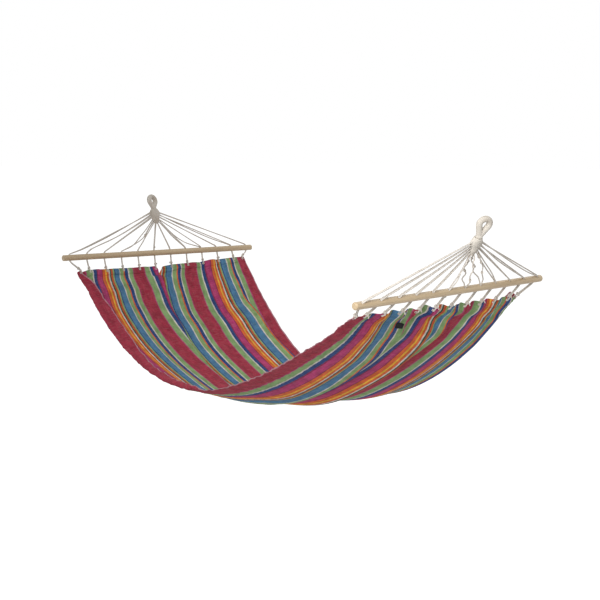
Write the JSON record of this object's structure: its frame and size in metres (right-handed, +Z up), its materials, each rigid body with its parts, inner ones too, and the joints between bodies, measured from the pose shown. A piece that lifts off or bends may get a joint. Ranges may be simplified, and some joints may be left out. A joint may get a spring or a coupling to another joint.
{
  "type": "hammock",
  "caption": "Spreader-bar hammock: a striped cotton bed hung by doubled cords from two drilled wooden bars, with a woven collar and a hook eye at each end.",
  "frame": {"origin": "the point where a hook bears inside the head eye", "axes": "+X from the head eye to the foot eye along the hammock, +Y towards the far side of the bed, +Z up"},
  "size_m": [2.004, 0.9998, 0.8274],
  "materials": {
    "striped_cotton": "plain woven cotton in lengthwise stripes of crimson, green, blue, orange, yellow and white",
    "cord_cotton": "three-strand laid cotton cord, natural",
    "collar_cotton": "woven and served cotton cord, natural",
    "bar_wood": "sanded pale hardwood dowel, thin clear varnish",
    "label_black": "plain black woven tape"
  },
  "bodies": {
    "hangers": {"head_eye": "collar_cotton", "foot_eye": "collar_cotton"},
    "bed": {"head_collar": "collar_cotton", "head_bar": "bar_wood", "head_hem": "striped_cotton", "head_knots": "cord_cotton", "head_cord_01": "cord_cotton", "head_cord_02": "cord_cotton", "head_cord_03": "cord_cotton", "head_cord_04": "cord_cotton", "head_cord_05": "cord_cotton", "head_cord_06": "cord_cotton", "head_cord_07": "cord_cotton", "head_cord_08": "cord_cotton", "head_cord_09": "cord_cotton", "head_cord_10": "cord_cotton", "head_cord_11": "cord_cotton", "head_cord_12": "cord_cotton", "bed_cloth": "striped_cotton"},
    "foot_end": {"foot_collar": "collar_cotton", "foot_bar": "bar_wood", "foot_hem": "striped_cotton", "foot_knots": "cord_cotton", "foot_cord_01": "cord_cotton", "foot_cord_02": "cord_cotton", "foot_cord_03": "cord_cotton", "foot_cord_04": "cord_cotton", "foot_cord_05": "cord_cotton", "foot_cord_06": "cord_cotton", "foot_cord_07": "cord_cotton", "foot_cord_08": "cord_cotton", "foot_cord_09": "cord_cotton", "foot_cord_10": "cord_cotton", "foot_cord_11": "cord_cotton", "foot_cord_12": "cord_cotton", "label_tag": "label_black"}
  },
  "joints": [
    {"name": "swing", "type": "hinge", "parent": "hangers", "child": "bed", "pos_m": [0.01352, 0, -0.03976], "axis": [1, 0, 0], "range_deg": [-30, 30]},
    {"name": "foot_twist", "type": "hinge", "parent": "bed", "child": "foot_end", "pos_m": [1.94652, 0, -0.03976], "axis": [1, 0, 0], "range_deg": [-8, 8], "deforming": ["bed_cloth"]}
  ]
}
